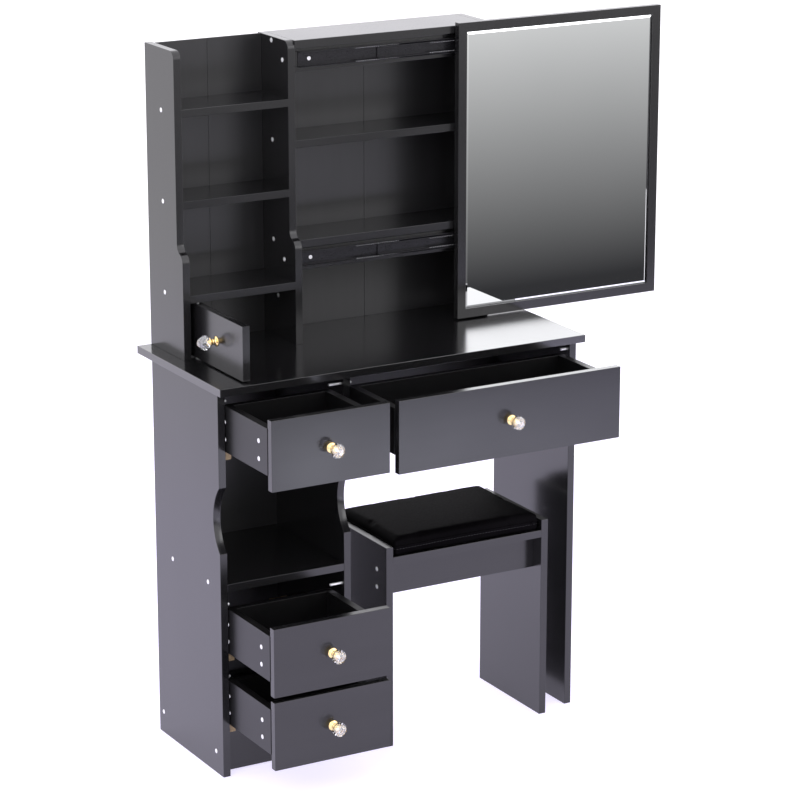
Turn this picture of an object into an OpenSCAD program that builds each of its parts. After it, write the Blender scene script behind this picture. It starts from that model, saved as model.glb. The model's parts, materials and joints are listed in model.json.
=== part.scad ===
// Vanity desk with a drawer pedestal, an open hutch with a side-sliding mirror, and a stool.
// X runs to the right, Y to the back and Z up. The origin is on the floor, under the middle of the
// divider panel between the pedestal and the knee space.
// The drawers stand pulled out, the mirror stands slid to the right and the cupboard door stands open.

/* [Desk] */
// Width of the desktop
desk_width = 800; // [700:10:1000]
// Depth of the desktop
desk_depth = 360; // [330:10:460]
// Height of the desktop's upper face
desk_height = 780; // [750:5:950]
// Thickness of every laminated board
board = 15; // [12:1:18]
// Thickness of the back panels
back_panel = 3; // [2:0.5:5]
// Desktop beyond the outer faces of the side panels
side_overhang = 6; // [0:1:30]
// Desktop beyond the front edges of the side panels
front_overhang = 24; // [18:1:60]
// Desktop beyond the back edges of the side panels
back_overhang = 53; // [0:1:70]
// Height of the rail behind the knee space
knee_rail_height = 150; // [60:5:180]

/* [Pedestal] */
// Clear width of the drawer pedestal
pedestal_opening = 250; // [220:5:320]
// Upper face of the fixed shelf above the floor
shelf_height = 389; // [370:1:420]
// Height of the concave cut in the front edges of the pedestal sides
scoop_height = 130; // [80:5:150]
// Depth of that cut
scoop_depth = 26; // [10:1:40]
// Lower end of that cut above the fixed shelf
scoop_rise = 62; // [20:1:70]
// Space between the plinth boards and the lowest runners
plinth_gap = 2; // [0:1:20]
// Gap between the plinth boards and the floor
plinth_lift = 3; // [0:1:5]
// Front plinth set back from the front edges of the sides
plinth_recess = 22.5; // [5:0.5:40]
// Back plinth set in from the back edges of the sides
plinth_back_recess = 12; // [5:1:40]

/* [Drawers] */
// Height of a drawer's side boards
box_height = 90; // [70:1:95]
// Drawer length from the front face to the back of the box
drawer_length = 195; // [160:5:240]
// How far a drawer stands pulled out
drawer_pull = 174; // [100:1:174]
// Closed drawer fronts before the front edges of the side panels
front_proud = 10; // [9:1:20]
// Space on each side of a drawer front
front_side_gap = 2; // [1:0.5:3]
// Height of the fronts of the three small drawers
small_front_height = 135; // [120:1:140]
// Height of the wide drawer's front
wide_front_height = 142; // [120:1:146]
// Front above the top of the side boards
front_rise = 17; // [5:1:20]
// Space between the desktop and the fronts of the upper drawers
top_gap = 8; // [3:1:20]
// Space between the fixed shelf and the front below it
shelf_gap = 17; // [3:1:20]
// Space between the two lower drawer fronts
front_gap = 10; // [3:1:20]
// Right end of a small drawer's front beyond its box
small_return = 25; // [4:1:40]
// Right end of the wide drawer's front beyond its box
wide_return = 14; // [4:1:40]
// Clearance beside and below a drawer box
drawer_clearance = 1; // [0.5:0.5:3]
// Thickness of a drawer bottom
drawer_bottom = 5; // [3:1:8]
// Height of a wooden runner
runner_height = 16; // [10:1:22]
// Diameter of a stop pin
stop_pin_d = 5; // [3:0.5:7]
// Space between a stop pin and the box below it
stop_pin_gap = 5; // [2:1:8]
// Space between a stop pin and the closed front
stop_front_gap = 0.5; // [0.5:0.5:2]

/* [Hutch] */
// Height of the hutch above the desktop
hutch_height = 590; // [540:5:700]
// Hutch set in from the left end of the desktop
hutch_inset = 30; // [0:5:60]
// Clear width of the left column
column_opening = 225; // [180:5:260]
// Clear width of the bay behind the mirror
bay_opening = 427; // [420:1:520]
// Depth of the hutch above its step
upper_depth = 125; // [110:5:150]
// How far the hutch comes forward below its step
step_depth = 23; // [15:1:32]
// Right side panel set back from the hutch's upper front, so that the slides pass
slide_space = 15; // [12:1:20]
// Start of the step above the desktop
step_height = 189; // [150:1:200]
// Height of the step
step_rise = 34; // [24:1:40]
// Radius of the upper front corners of the side panels
corner_radius = 15; // [5:1:25]
// Back panels set in from the back edges
back_inset = 12; // [5:1:20]
// Upper face of the left column's upper shelf above the desktop
column_upper_height = 479; // [400:1:500]
// Upper face of the left column's middle shelf above the desktop
column_middle_height = 303.5; // [240:0.5:380]
// Upper face of the shelf over the cupboard above the desktop
cupboard_height = 125.5; // [100:0.5:160]
// Upper face of the bay's upper shelf above the desktop
bay_upper_height = 397; // [320:1:440]
// Upper face of the bay's lower shelf above the desktop
bay_lower_height = 200.5; // [160:0.5:260]

/* [Sliding mirror] */
// Width of the mirror frame
mirror_width = 473; // [430:1:473]
// Space between the mirror frame and the desktop
mirror_lift = 3; // [2:1:8]
// Mirror frame above the top of the hutch
mirror_rise = 7; // [0:1:20]
// Visible width of the frame bars
frame_bar = 19; // [12:1:40]
// Space between the mirror and the front edges of the shelves
mirror_gap = 2; // [1:0.5:4]
// Space between the closed mirror and the centre panel
mirror_side_gap = 8; // [2:1:20]
// How far the mirror stands slid to the right
mirror_slide = 344; // [200:2:360]
// Height of the boards that carry the slides
slide_rail_height = 48; // [40:1:60]
// Length of each telescopic slide member
slide_length = 400; // [380:5:410]
// Height of a telescopic slide
slide_height = 30; // [26:1:35]
// Wall of a telescopic slide member
slide_wall = 1.2; // [1:0.1:1.5]
// Space for the balls between two slide members
slide_ball_gap = 2; // [1:0.5:2.5]

/* [Cupboard door] */
// Space between the door and the left panel when it is closed
door_side_gap = 2; // [1:0.5:4]
// Space between the door and the desktop
door_lift = 3; // [2:1:6]
// Space between the door and the shelf above
door_top_gap = 2; // [1:1:6]
// Pivot from the left panel's inner face
pivot_inset = 19; // [19:0.5:24]
// Diameter of a pivot pin
pivot_d = 5; // [4:0.5:6]
// Length of a pivot pin inside the door
pivot_length = 9; // [6:1:12]

/* [Knobs and screws] */
// Diameter of the faceted ball of a knob
knob_d = 28; // [24:1:36]
// Projection of a knob from its panel
knob_projection = 38; // [34:1:44]
// Diameter of a knob's metal foot
knob_foot_d = 20; // [16:1:24]
// Diameter of a screw head or cam disc
screw_d = 9; // [6:0.5:12]
// Thickness of a screw head
screw_head = 0.8; // [0.5:0.1:1]

/* [Stool] */
// Width of the stool
stool_width = 368; // [320:4:440]
// Depth of the stool's side panels
stool_depth = 233; // [200:1:300]
// Height of the stool's side panels
stool_height = 412; // [380:1:440]
// Front of the stool before the front edges of the desk's side panels
stool_front = 22; // [0:1:60]
// Left side of the stool from the divider
stool_left = 66; // [20:1:70]
// Height of the aprons
apron_height = 70; // [50:1:100]
// Apron set back from the front and back edges of the side panels
apron_recess = 30; // [10:1:60]
// Seat board below the top of the side panels
seat_drop = 21; // [10:1:40]
// Thickness of the cushion
cushion_height = 36; // [25:1:60]
// Clearance around the cushion
cushion_gap = 2; // [1:0.5:5]

/* [Hidden] */
$fn = 64;
facets = 10;
pin_clearance = 0.08;
cam_head = 0.5;
cushion_edge = 6;
cam_edge = 34;

laminate = [0.10, 0.10, 0.11];
laminate_front = [0.17, 0.17, 0.19];
steel = [0.62, 0.62, 0.64];
black_steel = [0.05, 0.05, 0.055];
gold = [0.80, 0.66, 0.36];
crystal = [0.90, 0.93, 0.95];
silver_glass = [0.72, 0.75, 0.78];
raw_wood = [0.62, 0.52, 0.36];
seat_leather = [0.07, 0.07, 0.075];

// Desk carcass
desk_left = -(side_overhang + board + pedestal_opening + board / 2);
desk_right = desk_left + desk_width;
left_face = desk_left + side_overhang;
right_face = desk_right - side_overhang;
side_depth = desk_depth - front_overhang - back_overhang;
front_edge = -side_depth / 2;
back_edge = side_depth / 2;
desk_front = front_edge - front_overhang;
desk_back = back_edge + back_overhang;
desktop_under = desk_height - board;
pedestal_x = left_face + board;
divider_x = pedestal_x + pedestal_opening;
knee_x = divider_x + board;
knee_opening = right_face - board - knee_x;
shelf_under = shelf_height - board;
scoop_radius = (pow(scoop_height / 2, 2) + pow(scoop_depth, 2)) / (2 * scoop_depth);

// Hutch
hutch_x = desk_left + hutch_inset;
column_x = hutch_x + board;
centre_x = column_x + column_opening;
bay_x = centre_x + board;
right_x = bay_x + bay_opening;
hutch_back = desk_back;
upper_front = hutch_back - upper_depth;
lower_front = upper_front - step_depth;
right_front = upper_front + slide_space;
hutch_top_z = desk_height + hutch_height;
inner_back = hutch_back - back_inset - back_panel;
step_radius = (pow(step_depth, 2) + pow(step_rise, 2)) / (4 * step_depth);
door_shelf_under = desk_height + cupboard_height - board;

// Sliding mirror: the slides hang in front of the right panel's edge
mirror_back = upper_front - mirror_gap;
mirror_left = bay_x + mirror_side_gap + mirror_slide;
mirror_z = desk_height + mirror_lift;
mirror_height = hutch_height - mirror_lift + mirror_rise;
slide_x = bay_x + (bay_opening - slide_length) / 2;
slide_depth = right_front - mirror_back;
slide_tops = [hutch_top_z - board, desk_height + bay_lower_height - board];
middle_height = slide_height - 2 * slide_wall - 2 * slide_ball_gap;
inner_height = middle_height - 2 * slide_wall - 2 * slide_ball_gap;

// Cupboard door, drawn closed and turned open about its pivot
door_width = column_opening - 2 * door_side_gap - 2;
door_z = desk_height + door_lift;
door_height = door_shelf_under - door_top_gap - door_z;
pivot = [column_x + pivot_inset, lower_front + board / 2];

// Each drawer: left end of its opening, clear width, underside of its front, front height and return
upper_drawer = [pedestal_x, pedestal_opening, desktop_under - top_gap - small_front_height,
    small_front_height, small_return];
wide_drawer = [knee_x, knee_opening, desktop_under - top_gap - wide_front_height,
    wide_front_height, wide_return];
middle_drawer = [pedestal_x, pedestal_opening, shelf_under - shelf_gap - small_front_height,
    small_front_height, small_return];
lower_drawer = [pedestal_x, pedestal_opening,
    shelf_under - shelf_gap - front_gap - 2 * small_front_height, small_front_height, small_return];
drawers = [upper_drawer, middle_drawer, lower_drawer, wide_drawer];
drawer_face = front_edge - front_proud - drawer_pull;
closed_back = front_edge - front_proud + board;
box_length = drawer_length - board;
runner_gap = 1;
plinth_height = box_under(lower_drawer) - drawer_clearance - runner_height - plinth_gap - plinth_lift;

// Stool
stool_x = knee_x + stool_left;
stool_y = front_edge - stool_front;
seat_under = stool_height - seat_drop - board;

function box_top(d) = d[2] + d[3] - front_rise;
function box_under(d) = box_top(d) - box_height;
function box_width(d) = d[1] - drawer_clearance - d[4];

// ---- shapes that repeat ----

// A box between two corners
module block(low, high) {
    translate(low) cube(high - low);
}

// A profile drawn in Y and Z, extruded along X from x
module side_board(x, thickness = board) {
    translate([x, 0, 0]) rotate([90, 0, 90]) linear_extrude(thickness) children();
}

// A screw head on a face whose outward direction is left (-1) or right (1) along X
module head(x, y, z, way = -1) {
    translate([x, y, z]) rotate([0, 90 * way, 0]) cylinder(h = screw_head, d = screw_d, $fn = 24);
}

// Foot of a knob, standing on the XY plane
module knob_foot() {
    stem = knob_foot_d * 0.3;
    neck = knob_projection - knob_d * 0.82;
    rotate_extrude($fn = 32) polygon([
        [0, 0], [knob_foot_d / 2, 0], [knob_foot_d / 2, 1.5], [stem, 4.5], [stem, neck - 4],
        [knob_d * 0.28, neck], [0, neck]
    ]);
}

// Faceted ball of a knob, on the end of its foot
module knob_ball() {
    neck = knob_projection - knob_d * 0.82;
    r = knob_d / 2;
    rotate_extrude($fn = facets) polygon([
        [0, neck], [r * 0.62, neck], [r, neck + r * 0.6], [r, neck + r * 0.85],
        [r * 0.72, knob_projection - r * 0.22], [r * 0.42, knob_projection], [0, knob_projection]
    ]);
}

module knob_place(d) {
    translate([d[0] + d[1] / 2, drawer_face, d[2] + d[3] / 2]) rotate([90, 0, 0]) children();
}

// ---- desk carcass ----

module desktop() {
    color(laminate) block([desk_left, desk_front, desktop_under], [desk_right, desk_back, desk_height]);
}

// Pedestal side with the concave cut in its front edge, drawn in Y and Z
module scooped_side() {
    difference() {
        translate([front_edge, 0]) square([side_depth, desktop_under]);
        translate([front_edge + scoop_depth - scoop_radius, shelf_height + scoop_rise + scoop_height / 2])
            circle(r = scoop_radius, $fn = 96);
    }
}

module left_side_panel() {
    color(laminate_front) side_board(left_face) scooped_side();
}

module divider_panel() {
    color(laminate) side_board(divider_x) scooped_side();
}

module right_side_panel() {
    color(laminate) block([right_face - board, front_edge, 0], [right_face, back_edge, desktop_under]);
}

module pedestal_shelf() {
    color(laminate) block([pedestal_x, front_edge, shelf_under],
        [divider_x, back_edge - back_panel, shelf_height]);
}

module pedestal_back_panel() {
    color(laminate) block([pedestal_x, back_edge - back_panel, plinth_lift],
        [divider_x, back_edge, desktop_under]);
}

module plinth_boards() {
    color(laminate)
        for (y = [front_edge + plinth_recess, back_edge - plinth_back_recess - board])
            block([pedestal_x, y, plinth_lift], [divider_x, y + board, plinth_lift + plinth_height]);
}

module knee_rail() {
    color(laminate) block([knee_x, back_edge - board, desktop_under - knee_rail_height],
        [right_face - board, back_edge, desktop_under]);
}

// Wooden strips under both sides of every drawer box, ending just behind the closed fronts
module drawer_runners() {
    color(raw_wood) for (d = drawers) {
        top = box_under(d) - drawer_clearance;
        for (span = [[d[0], d[0] + board], [d[0] + d[1] - d[4] - board, d[0] + d[1]]])
            block([span[0], closed_back + runner_gap, top - runner_height],
                [span[1], back_edge - 2 * board - plinth_back_recess, top]);
    }
}

// Steel pins over the sides of every drawer box: they stop the closing front and keep a pulled box level
module stop_pins() {
    pin_y = closed_back + stop_front_gap + stop_pin_d / 2;
    color(steel) for (d = drawers) {
        z = box_top(d) + stop_pin_gap + stop_pin_d / 2;
        translate([d[0], pin_y, z]) rotate([0, 90, 0]) cylinder(h = 6, d = stop_pin_d, $fn = 24);
        translate([d[0] + d[1] - d[4] - 2, pin_y, z]) rotate([0, 90, 0])
            cylinder(h = d[4] + 2, d = stop_pin_d, $fn = 24);
    }
}

// ---- hutch ----

// Points on an arc in Y and Z, from one angle to another
function arc(y, z, r, from, to, steps = 10) =
    [for (i = [0 : steps]) let (a = from + (to - from) * i / steps) [y + r * cos(a), z + r * sin(a)]];

// Straight panel with a rounded upper front corner, drawn in Y and Z
module rounded_side(front) {
    polygon(concat(
        [[front, desk_height]],
        arc(front + corner_radius, hutch_top_z - corner_radius, corner_radius, 180, 90),
        [[hutch_back, hutch_top_z], [hutch_back, desk_height]]
    ));
}

// Side panel whose front edge swells forward in an S-shaped step, drawn in Y and Z
module stepped_side() {
    z0 = desk_height + step_height;
    turn = asin(step_rise / 2 / step_radius);
    polygon(concat(
        [[lower_front, desk_height]],
        arc(lower_front + step_radius, z0, step_radius, 180, 180 - turn),
        arc(upper_front - step_radius, z0 + step_rise, step_radius, -turn + 1, 0),
        arc(upper_front + corner_radius, hutch_top_z - corner_radius, corner_radius, 180, 90),
        [[hutch_back, hutch_top_z], [hutch_back, desk_height]]
    ));
}

module hutch_left_panel() {
    color(laminate_front) side_board(hutch_x) stepped_side();
}

module hutch_centre_panel() {
    color(laminate) side_board(centre_x) stepped_side();
}

module hutch_right_panel() {
    color(laminate) side_board(right_x) rounded_side(right_front);
}

module hutch_top() {
    color(laminate_front) block([bay_x, upper_front, hutch_top_z - board],
        [right_x, hutch_back, hutch_top_z]);
}

// A shelf whose upper face stands a given height above the desktop
module hutch_shelf(x0, x1, front, height) {
    color(laminate) block([x0, front, desk_height + height - board], [x1, inner_back, desk_height + height]);
}

module column_shelf_upper() {
    hutch_shelf(column_x, centre_x, upper_front, column_upper_height);
}

module column_shelf_middle() {
    hutch_shelf(column_x, centre_x, upper_front, column_middle_height);
}

module cupboard_shelf() {
    hutch_shelf(column_x, centre_x, lower_front, cupboard_height);
}

module bay_shelf_upper() {
    hutch_shelf(bay_x, right_x, upper_front, bay_upper_height);
}

module bay_shelf_lower() {
    hutch_shelf(bay_x, right_x, upper_front, bay_lower_height);
}

// Thin panels closing the back of the column and of the bay
module hutch_back_panels() {
    color(laminate) {
        block([column_x, inner_back, desk_height], [centre_x, inner_back + back_panel, hutch_top_z]);
        block([bay_x, inner_back, desk_height], [right_x, inner_back + back_panel, hutch_top_z - board]);
    }
}

// ---- telescopic slides and mirror ----

module slide_rail(top) {
    color(laminate) block([bay_x, right_front, top - slide_rail_height], [right_x, right_front + board, top]);
}

module slide_rail_upper() {
    slide_rail(slide_tops[0]);
}

module slide_rail_lower() {
    slide_rail(slide_tops[1]);
}

// Channel open to the front (way 1) or to the back (way -1) between two depths
module channel(x, y0, y1, z, height, way) {
    back = way > 0 ? y1 - slide_wall : y0;
    block([x, back, z - height / 2], [x + slide_length, back + slide_wall, z + height / 2]);
    for (edge = [z - height / 2, z + height / 2 - slide_wall])
        block([x, y0, edge], [x + slide_length, y1, edge + slide_wall]);
}

module slide_channels() {
    color(black_steel) for (top = slide_tops)
        channel(slide_x, right_front - slide_depth + 4, right_front, top - slide_rail_height / 2,
            slide_height, 1);
}

module slide_middle_members() {
    color(black_steel) for (top = slide_tops)
        channel(slide_x + mirror_slide / 2, right_front - slide_depth + 2.5, right_front - slide_wall - 1.3,
            top - slide_rail_height / 2, middle_height, 1);
}

module slide_inner_members() {
    color(black_steel) for (top = slide_tops)
        channel(slide_x + mirror_slide, mirror_back, right_front - 2 * slide_wall - 2.6,
            top - slide_rail_height / 2, inner_height, -1);
}

// Frame with a rebate at the back for the glass and the backboard
module mirror_frame() {
    low = [mirror_left, mirror_back - board, mirror_z];
    high = [mirror_left + mirror_width, mirror_back, mirror_z + mirror_height];
    color(laminate_front) difference() {
        block(low, high);
        block(low + [frame_bar, -1, frame_bar], high + [-frame_bar, 1, -frame_bar]);
        block(low + [frame_bar - 6, 3, frame_bar - 6], high + [6 - frame_bar, 1, 6 - frame_bar]);
    }
}

module mirror_glass() {
    low = [mirror_left + frame_bar - 6, mirror_back - board + 3, mirror_z + frame_bar - 6];
    color(silver_glass) block(low, [mirror_left + mirror_width - frame_bar + 6, low[1] + 4,
        mirror_z + mirror_height - frame_bar + 6]);
}

module mirror_backboard() {
    low = [mirror_left + frame_bar - 6, mirror_back - board + 7, mirror_z + frame_bar - 6];
    color(laminate) block(low, [mirror_left + mirror_width - frame_bar + 6, mirror_back,
        mirror_z + mirror_height - frame_bar + 6]);
}

// ---- screws and pivots of the carcass ----

module panel_screws() {
    shelf_mid = board / 2;
    color(steel) {
        for (y = [front_edge + 53, back_edge - 76]) head(left_face, y, shelf_height - shelf_mid);
        for (y = [front_edge + plinth_recess + shelf_mid, back_edge - plinth_back_recess - shelf_mid])
            head(left_face, y, plinth_lift + plinth_height / 2);
        for (h = [column_upper_height, column_middle_height, cupboard_height])
            head(hutch_x, hutch_back - 68, desk_height + h - shelf_mid);
        for (h = [hutch_height, bay_upper_height, bay_lower_height])
            head(centre_x, hutch_back - 58, desk_height + h - shelf_mid);
        for (top = slide_tops) {
            head(centre_x, right_front + shelf_mid, top - slide_rail_height / 2);
            translate([slide_x + 24, right_front - slide_wall, top - slide_rail_height / 2])
                rotate([90, 0, 0]) cylinder(h = screw_head, d = 8, $fn = 24);
        }
        head(centre_x, hutch_back - 75, desk_height + 84);
    }
}

// Pins in the desktop and the cupboard shelf that the door turns on, each with a nylon washer
module door_pivots() {
    color(steel) {
        translate([pivot[0], pivot[1], desk_height])
            cylinder(h = door_lift + pivot_length, d = pivot_d);
        translate([pivot[0], pivot[1], desk_height]) cylinder(h = door_lift - 0.5, d = pivot_d + 6);
        translate([pivot[0], pivot[1], door_shelf_under - door_top_gap - pivot_length])
            cylinder(h = door_top_gap + pivot_length, d = pivot_d);
    }
}

// ---- drawers ----

module drawer_front(d) {
    color(laminate_front) block([d[0] + front_side_gap, drawer_face, d[2]],
        [d[0] + d[1] - front_side_gap, drawer_face + board, d[2] + d[3]]);
}

// Two sides, a back between them and a bottom let in between the boards
module drawer_box(d) {
    x0 = d[0] + drawer_clearance;
    x1 = x0 + box_width(d);
    y0 = drawer_face + board;
    y1 = y0 + box_length;
    z0 = box_under(d);
    color(laminate) {
        for (x = [x0, x1 - board]) block([x, y0, z0], [x + board, y1, z0 + box_height]);
        block([x0 + board, y1 - board, z0], [x1 - board, y1, z0 + box_height]);
        block([x0 + board, y0, z0 + 6], [x1 - board, y1 - board, z0 + 6 + drawer_bottom]);
    }
}

// Cam discs near the front and screws near the back, on the outer faces of both sides
module drawer_cams(d) {
    x0 = d[0] + drawer_clearance;
    y0 = drawer_face + board;
    color(steel) for (y = [y0 + cam_edge, y0 + box_length - board / 2], rise = [0.27, 0.65]) {
        z = box_under(d) + box_height * rise;
        translate([x0, y, z]) rotate([0, -90, 0]) cylinder(h = cam_head, d = screw_d, $fn = 24);
        translate([x0 + box_width(d), y, z]) rotate([0, 90, 0]) cylinder(h = cam_head, d = screw_d, $fn = 24);
    }
}

module drawer_knob_foot(d) {
    color(gold) knob_place(d) knob_foot();
}

module drawer_knob(d) {
    color(crystal) knob_place(d) knob_ball();
}

// ---- cupboard door ----

// Turns what is drawn closed to the open pose, a quarter turn to the front
module door_open() {
    translate([pivot[0], pivot[1], 0]) rotate([0, 0, -90]) translate([-pivot[0], -pivot[1], 0]) children();
}

module door_panel() {
    color(laminate_front) door_open() difference() {
        block([column_x + door_side_gap, lower_front, door_z],
            [column_x + door_side_gap + door_width, lower_front + board, door_z + door_height]);
        for (z = [door_z - 1, door_z + door_height - pivot_length - 1])
            translate([pivot[0], pivot[1], z])
                cylinder(h = pivot_length + 2, d = pivot_d + 2 * pin_clearance);
    }
}

module door_knob_place() {
    door_open() translate([column_x + door_side_gap + door_width / 2, lower_front, door_z + door_height / 2])
        rotate([90, 0, 0]) children();
}

module door_knob_foot() {
    color(gold) door_knob_place() knob_foot();
}

module door_knob() {
    color(crystal) door_knob_place() knob_ball();
}

// ---- stool ----

module stool_leg(x) {
    color(laminate_front) block([x, stool_y, 0], [x + board, stool_y + stool_depth, stool_height]);
}

module stool_left_leg() {
    stool_leg(stool_x);
}

module stool_right_leg() {
    stool_leg(stool_x + stool_width - board);
}

module stool_aprons() {
    color(laminate_front)
        for (y = [stool_y + apron_recess, stool_y + stool_depth - apron_recess - board])
            block([stool_x + board, y, seat_under - apron_height],
                [stool_x + stool_width - board, y + board, seat_under]);
}

module stool_seat_board() {
    color(laminate) block([stool_x + board, stool_y, seat_under],
        [stool_x + stool_width - board, stool_y + stool_depth, seat_under + board]);
}

module stool_screws() {
    color(steel)
        for (y = [stool_y + apron_recess + board / 2, stool_y + stool_depth - apron_recess - board / 2],
            z = [seat_under - apron_height / 2 - 18, seat_under - apron_height / 2 + 18]) {
            head(stool_x, y, z);
            head(stool_x + stool_width, y, z, 1);
        }
}

// Padded seat: flat below, with rounded upper edges at the front and back
module stool_cushion() {
    z0 = seat_under + board;
    color(seat_leather)
        translate([stool_x + board + cushion_gap, 0, 0]) rotate([90, 0, 90])
            linear_extrude(stool_width - 2 * board - 2 * cushion_gap) {
                translate([stool_y, z0]) square([stool_depth, cushion_height - cushion_edge]);
                translate([stool_y + cushion_edge, z0 + cushion_height - cushion_edge])
                    square([stool_depth - 2 * cushion_edge, cushion_edge]);
                for (y = [stool_y + cushion_edge, stool_y + stool_depth - cushion_edge])
                    translate([y, z0 + cushion_height - cushion_edge]) circle(r = cushion_edge);
            }
}

// ---- the pieces ----

desktop();
left_side_panel();
divider_panel();
right_side_panel();
pedestal_shelf();
pedestal_back_panel();
plinth_boards();
knee_rail();
drawer_runners();
stop_pins();
hutch_left_panel();
hutch_centre_panel();
hutch_right_panel();
hutch_top();
column_shelf_upper();
column_shelf_middle();
cupboard_shelf();
bay_shelf_upper();
bay_shelf_lower();
hutch_back_panels();
slide_rail_upper();
slide_rail_lower();
slide_channels();
panel_screws();
door_pivots();
drawer_front(upper_drawer);  // upper_drawer_front
drawer_box(upper_drawer);  // upper_drawer_box
drawer_cams(upper_drawer);  // upper_drawer_cams
drawer_knob_foot(upper_drawer);  // upper_drawer_knob_foot
drawer_knob(upper_drawer);  // upper_drawer_knob
drawer_front(middle_drawer);  // middle_drawer_front
drawer_box(middle_drawer);  // middle_drawer_box
drawer_cams(middle_drawer);  // middle_drawer_cams
drawer_knob_foot(middle_drawer);  // middle_drawer_knob_foot
drawer_knob(middle_drawer);  // middle_drawer_knob
drawer_front(lower_drawer);  // lower_drawer_front
drawer_box(lower_drawer);  // lower_drawer_box
drawer_cams(lower_drawer);  // lower_drawer_cams
drawer_knob_foot(lower_drawer);  // lower_drawer_knob_foot
drawer_knob(lower_drawer);  // lower_drawer_knob
drawer_front(wide_drawer);  // wide_drawer_front
drawer_box(wide_drawer);  // wide_drawer_box
drawer_cams(wide_drawer);  // wide_drawer_cams
drawer_knob_foot(wide_drawer);  // wide_drawer_knob_foot
drawer_knob(wide_drawer);  // wide_drawer_knob
slide_middle_members();
slide_inner_members();
mirror_frame();
mirror_glass();
mirror_backboard();
door_panel();
door_knob_foot();
door_knob();
stool_left_leg();
stool_right_leg();
stool_aprons();
stool_seat_board();
stool_screws();
stool_cushion();
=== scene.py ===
"""Vanity table with drawers, an open hutch, a side-sliding mirror and a stool.

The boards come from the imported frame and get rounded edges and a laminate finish. Screws, knobs,
the mirror's glass, the slides' balls and the stool's cushion are built here, around that frame.
"""

from __future__ import annotations

import json
import logging
import math
from dataclasses import dataclass, field
from enum import Enum
from typing import Sequence

import bmesh
import bpy
import numpy as np
from bmesh.types import BMesh
from bpy.types import Material, Mesh, Node, NodeSocket, NodeTree, Object
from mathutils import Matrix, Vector
from mathutils.bvhtree import BVHTree

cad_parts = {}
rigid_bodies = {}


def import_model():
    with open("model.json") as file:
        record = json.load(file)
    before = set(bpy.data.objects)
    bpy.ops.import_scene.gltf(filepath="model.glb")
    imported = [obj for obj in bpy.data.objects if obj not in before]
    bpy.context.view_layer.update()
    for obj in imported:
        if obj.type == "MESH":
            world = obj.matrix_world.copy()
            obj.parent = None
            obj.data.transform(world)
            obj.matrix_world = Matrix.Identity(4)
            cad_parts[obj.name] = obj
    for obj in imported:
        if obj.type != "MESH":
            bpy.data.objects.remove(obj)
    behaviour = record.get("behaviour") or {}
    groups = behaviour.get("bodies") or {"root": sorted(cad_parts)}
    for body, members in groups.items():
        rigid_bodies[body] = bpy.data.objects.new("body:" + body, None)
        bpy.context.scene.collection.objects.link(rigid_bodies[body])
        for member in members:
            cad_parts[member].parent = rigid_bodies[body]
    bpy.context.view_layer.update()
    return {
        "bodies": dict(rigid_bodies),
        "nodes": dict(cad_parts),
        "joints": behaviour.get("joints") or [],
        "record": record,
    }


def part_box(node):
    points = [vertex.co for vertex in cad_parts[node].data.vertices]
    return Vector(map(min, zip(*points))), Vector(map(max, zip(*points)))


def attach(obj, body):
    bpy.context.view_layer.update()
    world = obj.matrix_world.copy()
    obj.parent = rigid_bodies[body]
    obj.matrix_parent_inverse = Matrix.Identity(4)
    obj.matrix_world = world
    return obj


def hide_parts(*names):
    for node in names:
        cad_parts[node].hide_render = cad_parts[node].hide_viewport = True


LOG = logging.getLogger("vanity_table")
MM = 0.001
WELD = 1e-6
DRAWERS = ("upper", "middle", "lower", "wide")
Box = tuple[Vector, Vector]


class Grain(Enum):
    """Which way a board's embossed grain runs."""

    ACROSS = (0.04, 1.0, 1.0)
    DEEP = (1.0, 0.04, 1.0)
    UPRIGHT = (1.0, 1.0, 0.04)


class Facing(Enum):
    """Which way a fitting points away from the board it sits on."""

    LEFT = (0.0, -math.pi / 2, 0.0)
    RIGHT = (0.0, math.pi / 2, 0.0)
    FRONT = (math.pi / 2, 0.0, 0.0)
    UP = (0.0, 0.0, 0.0)


# ---- finishes ----


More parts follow.
